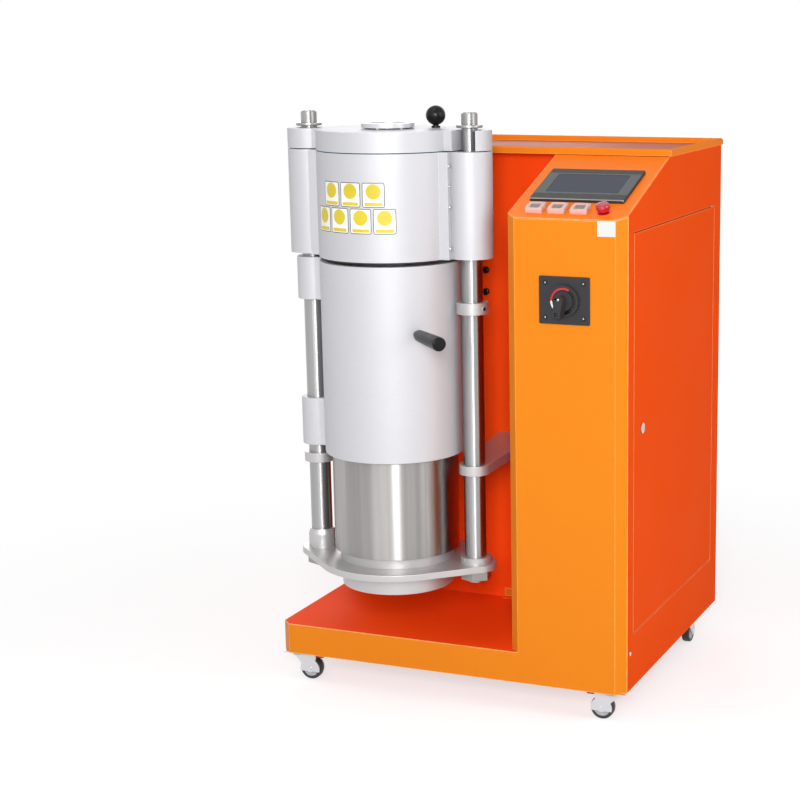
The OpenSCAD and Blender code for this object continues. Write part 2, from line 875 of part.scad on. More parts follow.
module door_pivots() {
    color(steel) for (top = [0, 1]) {
        z = top == 0 ? under + door_h0 - 14 : under + door_h1;
        zp = top == 0 ? z + 13 : z - 6;
        translate([right - sheet - 16, front + pivot_y - 9, z + (top == 0 ? 0 : 1)])
            cube([16, 18, 13]);
        translate([right - pivot_in, front + pivot_y, zp - eps]) cylinder(h = 8, r = pin_r);
    }
}

module door_lock() {
    cam_x = strike_x + sheet + 0.5;
    color(steel) translate([right, front + lock_y, under + strike_z]) union() {
        translate([-cam_x - 4, 0, 0]) rotate([0, 90, 0]) cylinder(h = cam_x + 4, r = 9);
        rotate([0, 90, 0]) translate([0, 0, free]) difference() {
            cylinder(h = 2, r = 11);
            translate([-5, -1, 1]) cube([10, 2, 2]);
        }
        translate([-1, 0, 0]) rotate([0, 90, 0]) cylinder(h = 2, r = 8.9);
        translate([-cam_x - 2.5, -7, -70]) cube([2.5, 14, 70]);
    }
}

// ---------- inside and back ----------

module vacuum_pump() {
    px = left + 210;
    py = bay_y + (back - bay_y) / 2 - 10;
    pz = under + base_t;
    color([0.35, 0.4, 0.45]) union() {
        for (dx = [-70, 70]) translate([px + dx - 14, py - 62, pz]) cube([28, 124, 16]);
        translate([px - 100, py, pz + 76]) rotate([0, 90, 0]) cylinder(h = 170, r = 62);
        for (i = [0:5]) translate([px - 88 + 14 * i, py, pz + 76]) rotate([0, 90, 0])
            cylinder(h = 4, r = 66);
        translate([px + 68, py - 62, pz]) cube([112, 124, 168]);
        translate([px + 124, py, pz + 166]) cylinder(h = 74, r = 34);
        translate([px + 96, py - 30, pz + 150]) cylinder(h = 40, r = 12);
    }
}

module power_module() {
    mx = right - 232;
    my = bay_y + 16;
    mz = under + base_t;
    md = back - bay_y - 82;
    color([0.72, 0.73, 0.74]) {
        translate([mx, my, mz]) union() {
            cube([190, md, 300]);
            for (i = [0:9]) translate([12 + 18 * i, 20, 298]) cube([4, md - 40, 22]);
        }
        // controller and contactors behind the touch screen
        translate([tower_x + 30, front + 60, under + 560]) union() {
            cube([150, 6, 170]);
            for (i = [0:3]) translate([6 + 36 * i, 5, 96]) cube([30, 60, 60]);
            for (i = [0:2]) translate([6 + 48 * i, 5, 14]) cube([42, 52, 64]);
        }
        translate([tower_x + 30, front + 60, under + base_t]) cube([8, 8, 700]);
    }
}

module fan_frame() {
    side = 2 * fan_r + 8;
    d = 25;
    color(black) translate([fan_x, back - sheet, fan_z]) rotate([90, 0, 0]) union() {
        difference() {
            linear_extrude(d) rounded_square(side, side, 6);
            translate([0, 0, -1]) cylinder(h = d + 2, r = fan_r);
        }
        for (a = [0:120:240]) rotate([0, 0, a + 30]) translate([0, -2, d - 4])
            cube([fan_r + 1, 4, 4]);
        translate([0, 0, d - 5]) cylinder(h = 5, r = 19);
        translate([0, 0, 8]) cylinder(h = d - 12, r = 3);
        // finger guard
        for (r = [20, 34, 48]) translate([0, 0, -sheet]) tube(r + 1, r - 1, sheet);
        for (a = [0:45:135]) rotate([0, 0, a])
            translate([-fan_r - 1.5, -1, -sheet]) cube([2 * fan_r + 3, 2, sheet + eps]);
    }
}

module fan_blades() {
    color(black) translate([fan_x, back - sheet, fan_z]) rotate([90, 0, 0]) difference() {
        union() {
            translate([0, 0, 3]) cylinder(h = 16, r = 20);
            for (a = [0:51.43:359]) rotate([0, 0, a]) translate([18, 0, 11]) rotate([28, 0, 0])
                translate([0, -11, -1]) cube([fan_r - 22, 22, 2]);
        }
        translate([0, 0, 6]) cylinder(h = 20, r = 3 + run);
    }
}

module service_ports() {
    color([0.8, 0.66, 0.35]) {
        for (x = port_x) translate([x, back, port_z]) rotate([-90, 0, 0]) difference() {
            union() {
                translate([0, 0, -sheet - 12]) cylinder(h = 14 + sheet, r = 8);
                cylinder(h = 8, r = 12, $fn = 6);
                cylinder(h = port_len, r = 6);
            }
            translate([0, 0, -20]) cylinder(h = port_len + 30, r = 4);
        }
        translate([gland_x, back, gland_z]) rotate([-90, 0, 0]) difference() {
            union() {
                translate([0, 0, -sheet - 10]) cylinder(h = 12 + sheet, r = 11);
                cylinder(h = 10, r = 15, $fn = 6);
                translate([0, 0, 9]) cylinder(h = 14, r = 13);
            }
            translate([0, 0, -20]) cylinder(h = 60, r = 7);
        }
    }
}

// ---------- casters ----------

caster_front_y = front + 34;
caster_rear_y = back - caster_rear;
plate_side = 58;
crown_z = 2 * wheel_r + 4;

module caster_plates() {
    plate_z = under - 3;
    race_z = crown_z + 3 + free;
    color(steel) for (sx = [-1, 1], y = [caster_front_y, caster_rear_y])
        translate([sx * (right - caster_in), y, 0]) difference() {
            union() {
                translate([0, 0, plate_z]) linear_extrude(under - plate_z)
                    rounded_square(plate_side, plate_side, 5);
                translate([0, 0, race_z]) cylinder(h = plate_z - race_z + eps, r = 18);
            }
            translate([0, 0, crown_z]) cylinder(h = caster_h, r = 5 + run);
        }
}

fork_half = wheel_w / 2 + 1.5;
fork_t = 2.5;
brake_x = trail + 10;
brake_pin = 2;

// Both cheeks of a fork, their outline given as [x, z]
module cheeks() {
    for (y = [fork_half + fork_t, -fork_half])
        translate([0, y, 0]) rotate([90, 0, 0]) linear_extrude(fork_t) children();
}

// A swivel fork whose wheel trails along +X before it is turned by heading; the
// hooded kind covers the wheel's upper half and carries a brake pedal
module fork(x, y, heading, hooded) {
    span = 2 * (fork_half + fork_t);
    tip = hooded ? brake_x + 5 : trail + 4;
    color(hooded ? [0.85, 0.85, 0.86] : [0.78, 0.78, 0.8])
        translate([x, y, 0]) rotate([0, 0, heading]) union() {
            translate([0, 0, crown_z]) cylinder(h = under - 1 - crown_z, r = 5);
            translate([0, 0, crown_z]) cylinder(h = 3, r = 20);
            translate([-14, -span / 2, crown_z]) cube([trail + 18, span, 3]);
            cheeks() union() {
                polygon([
                    [-14, crown_z + 3], [tip, crown_z + 3], [tip, crown_z - 4],
                    [trail + 8, wheel_r], [trail - 8, wheel_r]
                ]);
                translate([trail, wheel_r]) circle(8.5);
            }
            translate([trail, span / 2 + 2, wheel_r]) rotate([90, 0, 0])
                cylinder(h = span + 4, r = 4);
            if (hooded) {
                cheeks() intersection() {
                    translate([trail, wheel_r]) circle(wheel_r - 2);
                    translate([trail - wheel_r, wheel_r - 6]) square(2 * wheel_r);
                }
                translate([brake_x, span / 2, crown_z]) rotate([90, 0, 0])
                    cylinder(h = span, r = brake_pin);
            }
        }
}

module wheel(x, y, heading) {
    color(black) translate([x, y, 0]) rotate([0, 0, heading])
        translate([trail, 0, wheel_r]) rotate([90, 0, 0]) rotate_extrude() polygon([
            [4 + run, -wheel_w / 2], [10, -wheel_w / 2], [12, -wheel_w / 2 + 3],
            [17, -wheel_w / 2 + 3], [18, -wheel_w / 2], [wheel_r - 2, -wheel_w / 2],
            [wheel_r, -wheel_w / 2 + 4], [wheel_r, wheel_w / 2 - 4],
            [wheel_r - 2, wheel_w / 2], [18, wheel_w / 2], [17, wheel_w / 2 - 3],
            [12, wheel_w / 2 - 3], [10, wheel_w / 2], [4 + run, wheel_w / 2]
        ]);
}

// A brake pedal that turns on the pin at the end of a hooded fork
module brake(x, y, heading) {
    w = 2 * fork_half - 1.2;
    color([0.8, 0.1, 0.12]) translate([x, y, 0]) rotate([0, 0, heading])
        translate([brake_x, 0, crown_z]) difference() {
            union() {
                rotate([90, 0, 0]) cylinder(h = w, r = 4, center = true);
                translate([2, -w / 2, -2]) cube([20, w, 4]);
            }
            rotate([90, 0, 0]) cylinder(h = w + 2, r = brake_pin + run, center = true);
        }
}

fx = right - caster_in;
head_right = 180;
head_left = 0;
head_rear = 90;

module fork_front_right() { fork(fx, caster_front_y, head_right, true); }
module fork_front_left() { fork(-fx, caster_front_y, head_left, true); }
module fork_rear_right() { fork(fx, caster_rear_y, head_rear, false); }
module fork_rear_left() { fork(-fx, caster_rear_y, head_rear, false); }
module wheel_front_right() { wheel(fx, caster_front_y, head_right); }
module wheel_front_left() { wheel(-fx, caster_front_y, head_left); }
module wheel_rear_right() { wheel(fx, caster_rear_y, head_rear); }
module wheel_rear_left() { wheel(-fx, caster_rear_y, head_rear); }
module brake_right() { brake(fx, caster_front_y, head_right); }
module brake_left() { brake(-fx, caster_front_y, head_left); }

base_plate();
front_panel();
bay_floor();
tower_inner_wall();
bay_back_wall();
right_panel();
left_panel();
back_panel();
control_panel();
top_tray();
hmi_frame();
hmi_screen();
button_bezels();
switch_plate();
cover_screws();
door_pivots();
column_left();
column_right();
column_nuts();
column_collars();
yoke_plate();
base_ring();
bottom_cap();
lift_cylinder();
wall_braces();
melting_chamber();
vessel_seal();
lid_seal();
induction_coil();
crucible();
vacuum_pump();
power_module();
service_ports();
caster_plates();
fan_frame();
lid();
sight_ring();
sight_glass();
lid_knob();
lift_ram();
flask_chamber();
flask_handle();
side_door();
door_lock();
switch_handle();
stop_head();
button_1();
button_2();
button_3();
fan_blades();
fork_front_right();
fork_front_left();
fork_rear_right();
fork_rear_left();
wheel_front_right();
wheel_front_left();
wheel_rear_right();
wheel_rear_left();
brake_right();
brake_left();
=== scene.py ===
# Looks of a jewelry vacuum casting machine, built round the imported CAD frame.
# Metres, +Z up, front towards -Y, the same frame as the CAD.
import math
import random

import bmesh
import bpy
from mathutils import Matrix, Vector

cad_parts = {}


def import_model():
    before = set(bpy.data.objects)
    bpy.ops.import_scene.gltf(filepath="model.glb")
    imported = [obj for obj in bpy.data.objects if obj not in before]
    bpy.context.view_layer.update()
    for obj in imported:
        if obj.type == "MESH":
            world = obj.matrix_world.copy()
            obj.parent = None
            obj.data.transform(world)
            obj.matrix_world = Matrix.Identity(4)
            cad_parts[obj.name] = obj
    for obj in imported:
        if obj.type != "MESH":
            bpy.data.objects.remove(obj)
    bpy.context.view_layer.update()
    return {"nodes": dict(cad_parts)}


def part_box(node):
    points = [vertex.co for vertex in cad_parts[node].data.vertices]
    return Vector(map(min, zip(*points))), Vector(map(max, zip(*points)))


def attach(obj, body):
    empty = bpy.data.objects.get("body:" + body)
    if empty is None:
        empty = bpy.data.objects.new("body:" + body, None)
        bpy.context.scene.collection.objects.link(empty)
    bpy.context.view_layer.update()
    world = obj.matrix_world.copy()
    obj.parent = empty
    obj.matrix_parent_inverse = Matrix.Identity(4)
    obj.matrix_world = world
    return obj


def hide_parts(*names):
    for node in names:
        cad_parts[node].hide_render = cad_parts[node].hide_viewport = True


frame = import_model()
NODES = frame["nodes"]
MM = 0.001
rng = random.Random(7)

# ---------- places read off the frame ----------

chamber_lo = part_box("melting_chamber")[0]
tray_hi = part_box("top_tray")[1]
glass_lo, glass_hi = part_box("sight_glass")

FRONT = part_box("front_panel")[0].y
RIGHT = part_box("right_panel")[1].x
VESSEL = Vector(((glass_lo.x + glass_hi.x) / 2, (glass_lo.y + glass_hi.y) / 2, 0))
VESSEL_R = 146 * MM
COL_GAP = 360 * MM          # between the columns' axes
SLOPE = math.atan2(103, 288)  # rise and run of the control panel
FRONT_TOP = 1032 * MM       # where the front ends and the slope starts
HMI_X = 269 * MM            # middle of the touch screen
SWITCH = Vector((270 * MM, FRONT - 3 * MM, 871.5 * MM))  # centre of the switch plate's face
BUTTON_X, BUTTON_STEP, BUTTON_S = 197 * MM, 47 * MM, 37 * MM  # first button, spacing, up the slope
STOP_X, STOP_S = 340 * MM, 33 * MM  # the emergency stop's place on the slope
FORWARD = (0, -1, 0)
RIGHTWARD = (1, 0, 0)
BACKWARD = (0, 1, 0)


# ---------- materials ----------

class Look:
    """A Principled material whose colour, roughness and surface vary by procedural nodes."""

    def __init__(self, name, colour, rough, metal=0.0, **sockets):
        self.mat = bpy.data.materials.new(name)
        self.mat.use_nodes = True
        self.tree = self.mat.node_tree
        self.tree.nodes.clear()
        self.colour = colour
        self.out = self.tree.nodes.new("ShaderNodeOutputMaterial")
        self.bsdf = self.tree.nodes.new("ShaderNodeBsdfPrincipled")
        self.link(self.bsdf.outputs[0], self.out.inputs[0])
        self.bsdf.inputs["Base Color"].default_value = (*colour, 1)
        self.bsdf.inputs["Roughness"].default_value = rough
        self.bsdf.inputs["Metallic"].default_value = metal
        for key, value in sockets.items():
            self.bsdf.inputs[key.replace("_", " ")].default_value = value
        self.normal = None
        self.mat.diffuse_color = (*colour, 1)

    def link(self, a, b):
        self.tree.links.new(a, b)

    def node(self, kind, **values):
        n = self.tree.nodes.new("ShaderNode" + kind)
        for key, value in values.items():
            if key in n.inputs:
                n.inputs[key].default_value = value
            else:
                setattr(n, key, value)
        return n

    def coords(self, stretch=(1, 1, 1)):
        where = self.node("TexCoord")
        move = self.node("Mapping")
        move.inputs["Scale"].default_value = stretch
        self.link(where.outputs["Object"], move.inputs["Vector"])
        return move.outputs["Vector"]

    def noise(self, scale, detail=3.0, stretch=(1, 1, 1), rough=0.55):
        n = self.node("TexNoise", Scale=scale, Detail=detail, Roughness=rough)
        self.link(self.coords(stretch), n.inputs["Vector"])
        return n.outputs["Fac"]

    def spread(self, value, low, high, start=0.3, stop=0.7):
        r = self.node("MapRange")
        self.link(value, r.inputs["Value"])
        for key, v in zip(("From Min", "From Max", "To Min", "To Max"), (start, stop, low, high)):
            r.inputs[key].default_value = v
        return r.outputs["Result"]

    def tint(self, fac, other):
        """Mixes the colour built so far towards other, by fac."""
        mix = self.node("Mix", data_type="RGBA")
        self.link(fac, mix.inputs[0])
        sock = self.bsdf.inputs["Base Color"]
        if sock.is_linked:
            self.link(sock.links[0].from_socket, mix.inputs[6])
        else:
            mix.inputs[6].default_value = (*self.colour, 1)
        mix.inputs[7].default_value = (*other, 1)
        self.link(mix.outputs[2], sock)
        return self

    def vary(self, scale, amount, stretch=(1, 1, 1)):
        """Uneven colour: patches darker than the base by up to twice amount."""
        fac = self.spread(self.noise(scale, 4, stretch), 0, 1)
        dark = [c * (1 - 2 * amount) for c in self.colour]
        return self.tint(fac, dark)

    def polish(self, scale, low, high, stretch=(1, 1, 1)):
        self.link(self.spread(self.noise(scale, 4, stretch), low, high),
                  self.bsdf.inputs["Roughness"])
        return self

    def bump(self, scale, depth, stretch=(1, 1, 1), strength=0.5, detail=3.0):
        n = self.node("Bump", Strength=strength, Distance=depth)
        self.link(self.noise(scale, detail, stretch), n.inputs["Height"])
        if self.normal:
            self.link(self.normal, n.inputs["Normal"])
        self.normal = n.outputs["Normal"]
        self.link(self.normal, self.bsdf.inputs["Normal"])
        return self

    def painted_edge_highlight(self, other, reach, share):
        """Painted highlight on edges: the colour made lighter or darker, in patches, where a
        rounded normal differs from the true one.
        """
        round_off = self.node("Bevel", Radius=reach, samples=4)
        true = self.node("NewGeometry").outputs["Normal"]
        dot = self.node("VectorMath", operation="DOT_PRODUCT")
        self.link(round_off.outputs["Normal"], dot.inputs[0])
        self.link(true, dot.inputs[1])
        edge = self.spread(dot.outputs["Value"], share, 0, 0.86, 0.995)
        patchy = self.spread(self.noise(45, 4), 0.55, 1)
        both = self.node("Math", operation="MULTIPLY")
        self.link(edge, both.inputs[0])
        self.link(patchy, both.inputs[1])
        return self.tint(both.outputs[0], other)


def lin(r, g, b):
    """A display colour, 0 to 255, as the linear value shaders take."""
    return tuple(((c / 255 + 0.055) / 1.055) ** 2.4 if c > 10 else c / 3294 for c in (r, g, b))


def powder(name, colour, edge, gloss=0.2, rough=0.34, line=0.75):
    """Powder coat: a faint orange-peel grain, and a painted highlight, a lighter tone along its
    edges.
    """
    look = Look(name, colour, rough, IOR=1.45, Specular_IOR_Level=gloss)
    # edge is the colour of the painted highlight along the edges
    return (look.vary(1.7, 0.02).vary(240, 0.02).polish(6, rough - 0.04, rough + 0.06)
            .bump(700, 0.00006, strength=0.12, detail=2).painted_edge_highlight(edge, 0.0032, line)).mat


def tray_look():
    """The tray's paint, dull, with its inner floor browned by a painted dark reflection and a
    painted highlight along its edges.
    """
    look = Look("tray_paint", lin(238, 128, 26), 0.5, IOR=1.45, Specular_IOR_Level=0.03)
    up = look.node("SeparateXYZ")
    look.link(look.node("NewGeometry").outputs["Normal"], up.inputs[0])
    height = look.node("SeparateXYZ")
    look.link(look.coords(), height.inputs[0])
    # upward faces below the rim, the inner floor, take a painted dark reflection
    flat = look.spread(up.outputs["Z"], 0, 1, 0.9, 0.99)
    low = look.spread(height.outputs["Z"], 1, 0, tray_hi.z - 0.012, tray_hi.z - 0.006)
    floor = look.node("Math", operation="MULTIPLY")
    look.link(flat, floor.inputs[0])
    look.link(low, floor.inputs[1])
    look.vary(1.7, 0.02).vary(240, 0.02)
    # painted dark reflection: the inner floor browned
    look.tint(floor.outputs[0], lin(196, 104, 72))
    # ends with a painted highlight along the edges
    return (look.polish(6, 0.46, 0.56).bump(700, 0.00006, strength=0.12, detail=2)
            .painted_edge_highlight(lin(255, 190, 116), 0.0026, 0.8)).mat


def machined(name, colour, rough, metal, stretch=(1, 1, 1), lines=900, depth=0.00003):
    """Cast, milled or plated metal with a fine grain and a painted highlight on its edges."""
    look = Look(name, colour, rough, metal)
    # the last step paints a near-white highlight on the edges
    return (look.vary(4, 0.02).vary(lines * 0.5, 0.02, stretch)
            .polish(14, rough - 0.03, rough + 0.04, stretch)
            .bump(lines, depth, stretch, strength=0.2, detail=2)
            .painted_edge_highlight((0.93, 0.93, 0.94), 0.0016, 0.5)).mat


def turned(name, colour, rough, metal, reflection_streak, brush):
    """Lathe-turned metal: highlights drawn out along the axis, with soft vertical streaks in the
    colour beside them that are painted reflections.
    """
    look = Look(name, colour, rough, metal, Anisotropic=brush)
    around = look.node("Tangent", direction_type="RADIAL", axis="Z")
    look.link(around.outputs[0], look.bsdf.inputs["Tangent"])
    look.bsdf.inputs["Anisotropic Rotation"].default_value = 0.25
    # darker vertical streaks in the colour, broad and fine: painted reflections of the
    # surroundings
    look.vary(11, reflection_streak, (1, 1, 0.012)).vary(60, reflection_streak / 2, (1, 1, 0.03))
    return look.polish(40, rough - 0.05, rough + 0.06, (1, 1, 0.02)).mat


def moulded(name, colour, rough, grain=700, depth=0.00006, **sockets):
    """Plastic, rubber or print with a fine grain."""
    look = Look(name, colour, rough, 0.0, **sockets)
    return (look.vary(9, 0.06).polish(30, rough - 0.05, rough + 0.08)
            .bump(grain, depth, strength=0.4)).mat


M = {
    # front_paint, slope_paint and tray_paint are the body's one orange paint made paler and
    # yellower, and bay_paint is it made brighter: painted light, lit copies of one material for
    # the faces that take more light and for the shaded bay. Each powder's third colour is its
    # painted edge highlight.
    "front_paint": powder("front_paint", lin(219, 125, 25), lin(255, 206, 140), 0.1, line=1.0),
    "slope_paint": powder("slope_paint", lin(255, 127, 24), lin(255, 206, 140), 0.1, line=1.0),
    "body_paint": powder("body_paint", lin(240, 80, 10), lin(255, 166, 112), 0.01, 0.5, 1.0),
    "bay_paint": powder("bay_paint", lin(255, 79, 20), lin(255, 140, 76), 0.02, 0.5),
    "tray_paint": tray_look(),
    "cast_alu": machined("cast_alu", lin(191, 191, 195), 0.5, 0.25, lines=420),
    "milled_alu": machined("milled_alu", lin(190, 188, 188), 0.42, 0.65, lines=420),
    "ring_alu": machined("ring_alu", lin(208, 208, 212), 0.36, 0.3, (0.2, 0.2, 1), 600, 0.00002),
    "turned_alu": machined("turned_alu", lin(194, 194, 198), 0.5, 0.25, (0.2, 0.2, 1), 600,
                           0.00002),
    # for column_steel and tube_steel, 0.2 and 0.44 set the strength of the painted reflection
    # streaks
    "column_steel": turned("column_steel", lin(186, 185, 185), 0.34, 1.0, 0.2, 0.92),
    "tube_steel": turned("tube_steel", lin(212, 209, 207), 0.36, 1.0, 0.44, 0.95),
    "bright_steel": machined("bright_steel", lin(205, 204, 202), 0.24, 1.0),
    "nut_steel": machined("nut_steel", lin(158, 155, 151), 0.3, 0.9),
    "zinc": machined("zinc", lin(206, 208, 212), 0.38, 0.6, lines=300),
    "black_plastic": moulded("black_plastic", lin(52, 51, 53), 0.42, Specular_IOR_Level=0.2),
    "black_grip": moulded("black_grip", lin(15, 15, 16), 0.3, Specular_IOR_Level=0.22),
    # bezel_plastic is whitish translucent plastic; its pink tone is a painted reflection of the
    # orange panel seen in and through it
    "bezel_plastic": moulded("bezel_plastic", lin(255, 200, 188), 0.22, 300, 0.00003,
                             Transmission_Weight=0.25, Subsurface_Weight=0.3, IOR=1.45),
    "cap_plastic": moulded("cap_plastic", lin(128, 120, 120), 0.35),
    "red_plastic": moulded("red_plastic", lin(180, 9, 38), 0.16, 200, 0.00002, Coat_Weight=0.4),
    "rubber": moulded("rubber", lin(34, 34, 36), 0.62, 500, 0.00008),
    "tread": moulded("tread", lin(38, 38, 41), 0.55, 420, 0.0001),
    "teal_seal": moulded("teal_seal", lin(6, 78, 100), 0.5),
    "copper": machined("copper", lin(206, 138, 98), 0.26, 1.0, lines=600),
    "graphite": moulded("graphite", lin(52, 52, 56), 0.55, 360, 0.0001),
    "pump_alu": machined("pump_alu", lin(92, 110, 130), 0.45, 0.3, lines=240, depth=0.0001),
    "housing": moulded("housing", lin(178, 180, 184), 0.42, 520),
    "brass": machined("brass", lin(214, 178, 98), 0.25, 1.0),
    "black_bolt": moulded("black_bolt", lin(24, 22, 24), 0.24),
    "sticker": moulded("sticker", lin(233, 234, 230), 0.38, 300, 0.00002),
    "sticker_line": moulded("sticker_line", lin(40, 42, 42), 0.4, 300, 0.00002),
    "sticker_yellow": moulded("sticker_yellow", lin(208, 186, 38), 0.36, 300, 0.00002),
    "white_plate": moulded("white_plate", lin(208, 208, 205), 0.34, 300, 0.00002),
    "red_mark": moulded("red_mark", lin(206, 30, 32), 0.4),
    "white_mark": moulded("white_mark", lin(236, 236, 232), 0.4),
    "silver_trim": machined("silver_trim", lin(150, 156, 160), 0.34, 0.6, lines=500),
    "grey_glass": moulded("grey_glass", lin(80, 85, 85), 0.3, 300, 0.00002,
                          Specular_IOR_Level=0.2),
    "glass_band": moulded("glass_band", lin(36, 38, 36), 0.3, 300, 0.00002,
                          Specular_IOR_Level=0.2),
    "gloss_black": moulded("gloss_black", lin(12, 12, 13), 0.2, 300, 0.00002),
}


def screen_look():
    """The unlit screen's smooth dark glass."""
    look = Look("screen", lin(58, 63, 78), 0.16, IOR=1.45, Specular_IOR_Level=0.15)
    return look.vary(5, 0.08).polish(20, 0.09, 0.16).bump(60, 0.00002, strength=0.1).mat


def clear_look():
    """The sight glass."""
    look = Look("clear_glass", lin(206, 220, 222), 0.05, Transmission_Weight=0.85, IOR=1.46)
    return look.vary(12, 0.03).polish(25, 0.03, 0.09).bump(50, 0.00002, strength=0.1).mat


M["screen"] = screen_look()
M["clear"] = clear_look()

NODE_LOOK = {
    "front_paint": ["front_panel"],
    "slope_paint": ["control_panel"],
    "tray_paint": ["top_tray"],
    "body_paint": ["base_plate", "right_panel", "left_panel", "back_panel", "side_door"],
    "bay_paint": ["bay_floor", "tower_inner_wall", "bay_back_wall"],
    "cast_alu": ["melting_chamber", "lid"],
    "milled_alu": ["wall_braces", "yoke_plate", "base_ring", "bottom_cap", "column_collars"],
    "turned_alu": ["flask_chamber", "lift_ram"],
    "ring_alu": ["sight_ring"],
    "nut_steel": ["column_nuts"],
    "column_steel": ["column_left", "column_right"],
    "tube_steel": ["lift_cylinder"],
    "bright_steel": ["door_pivots", "door_lock", "cover_screws"],
    "zinc": ["caster_plates", "fork_front_right", "fork_front_left", "fork_rear_right",
             "fork_rear_left"],
    "black_plastic": ["hmi_frame", "switch_plate", "switch_handle", "fan_frame", "fan_blades"],
    "black_grip": ["flask_handle", "lid_knob"],
    "screen": ["hmi_screen"],
    "clear": ["sight_glass"],
    "bezel_plastic": ["button_bezels"],
    "cap_plastic": ["button_1", "button_2", "button_3"],
    "red_plastic": ["stop_head", "brake_right", "brake_left"],
    "rubber": ["vessel_seal"],
    "teal_seal": ["lid_seal"],
    "copper": ["induction_coil"],
    "graphite": ["crucible"],
    "pump_alu": ["vacuum_pump"],
    "housing": ["power_module"],
    "brass": ["service_ports"],
    "tread": ["wheel_front_right", "wheel_front_left", "wheel_rear_right", "wheel_rear_left"],
}
EDGE = {  # rounding of the CAD nodes' edges, in millimetres
    "front_panel": 1.6, "right_panel": 0.8, "side_door": 1.2, "top_tray": 0.8,
    "control_panel": 0.7, "melting_chamber": 1.2, "lid": 1.6, "flask_chamber": 1.4,
    "wall_braces": 1.5, "yoke_plate": 1.2, "column_collars": 1.0, "hmi_frame": 1.2,
    "switch_plate": 0.8, "switch_handle": 1.6, "button_bezels": 0.8, "power_module": 1.2,
    "vacuum_pump": 2.0, "flask_handle": 0.8, "stop_head": 0.6, "column_nuts": 1.2,
    "fan_frame": 0.3, "fan_blades": 0.3, "service_ports": 0.3, "hmi_screen": 0.2,
    "door_lock": 0.3, "sight_ring": 0.6, "crucible": 1.0, "lid_knob": 0.3,
}


def dress(name, look):
    """Gives a CAD node its material and, by modifiers, clean smooth shading and soft edges."""
    ob = NODES[name]
    ob.data.materials.clear()
    ob.data.materials.append(M[look])
    for poly in ob.data.polygons:
        poly.use_smooth = True
    weld = ob.modifiers.new("weld", "WELD")
    weld.merge_threshold = 0.00002
    flat = ob.modifiers.new("flat", "DECIMATE")
    flat.decimate_type = "DISSOLVE"
    flat.angle_limit = math.radians(0.6)
    soft = ob.modifiers.new("soft", "BEVEL")
    soft.width = EDGE.get(name, 0.5) * MM
    soft.segments = 2
    soft.limit_method = "ANGLE"
    soft.angle_limit = math.radians(32)
    soft.harden_normals = False
    normals = ob.modifiers.new("normals", "WEIGHTED_NORMAL")
    normals.weight = 90
    normals.keep_sharp = False


for look_name, members in NODE_LOOK.items():
    for member in members:
        dress(member, look_name)


# ---------- mesh helpers ----------


def finish_mesh(bm, name, look, body, sharp=35):
    bmesh.ops.remove_doubles(bm, verts=bm.verts, dist=1e-7)
    bmesh.ops.recalc_face_normals(bm, faces=bm.faces)
    mesh = bpy.data.meshes.new(name)
    bm.to_mesh(mesh)
    bm.free()
    for poly in mesh.polygons:
        poly.use_smooth = True
    mesh.set_sharp_from_angle(angle=math.radians(sharp))
    mesh.materials.append(M[look])
    ob = bpy.data.objects.new(name, mesh)
    bpy.context.scene.collection.objects.link(ob)
    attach(ob, body)
    return ob


def add_lathe(bm, profile, place, steps=64):
    """Revolves [r, z] points about the local Z of place; the ends close on the axis."""
    rings = []
    for r, z in profile:
        if r < 1e-7:
            rings.append([bm.verts.new(place @ Vector((0, 0, z)))])
        else:
            rings.append([bm.verts.new(place @ Vector((r * math.cos(a), r * math.sin(a), z)))
                          for a in (2 * math.pi * i / steps for i in range(steps))])
    for lower, upper in zip(rings, rings[1:]):
        for i in range(steps):
            j = (i + 1) % steps
            quad = [lower[i % len(lower)], lower[j % len(lower)],
                    upper[j % len(upper)], upper[i % len(upper)]]
            face = list(dict.fromkeys(quad))
            if len(face) > 2:
                bm.faces.new(face)


def add_prism(bm, outline, depth, place, edge=0.0):
    """Extrudes a flat outline along local Z, with a small bevel round its top edge."""
    base = [bm.verts.new(place @ Vector((x, y, 0))) for x, y in outline]
    wall = [bm.verts.new(place @ Vector((x, y, depth - edge))) for x, y in outline]
    cx = sum(p[0] for p in outline) / len(outline)
    cy = sum(p[1] for p in outline) / len(outline)

    def inset(x, y):
        d = Vector((x - cx, y - cy))
        d -= d.normalized() * edge
        return place @ Vector((cx + d.x, cy + d.y, depth))

    top = [bm.verts.new(inset(x, y)) for x, y in outline] if edge else wall
    loops = [base, wall] + ([top] if edge else [])
    for a, b in zip(loops, loops[1:]):
        for i in range(len(a)):
            j = (i + 1) % len(a)
            bm.faces.new((a[i], a[j], b[j], b[i]))
    bm.faces.new(list(reversed(base)))
    bm.faces.new(top)


def rounded_rect(w, h, r, steps=6):
    points = []
    for cx, cy, start in ((w / 2 - r, h / 2 - r, 0), (-w / 2 + r, h / 2 - r, 90),
                          (-w / 2 + r, -h / 2 + r, 180), (w / 2 - r, -h / 2 + r, 270)):
        for i in range(steps + 1):
            a = math.radians(start + 90 * i / steps)
            points.append((cx + r * math.cos(a), cy + r * math.sin(a)))
    return points


def facing(direction, at, spin=0.0):
    """A placement whose local Z points along direction."""
    turn = Vector(direction).to_track_quat("Z", "Y").to_matrix().to_4x4()
    return Matrix.Translation(at) @ turn @ Matrix.Rotation(spin, 4, "Z")


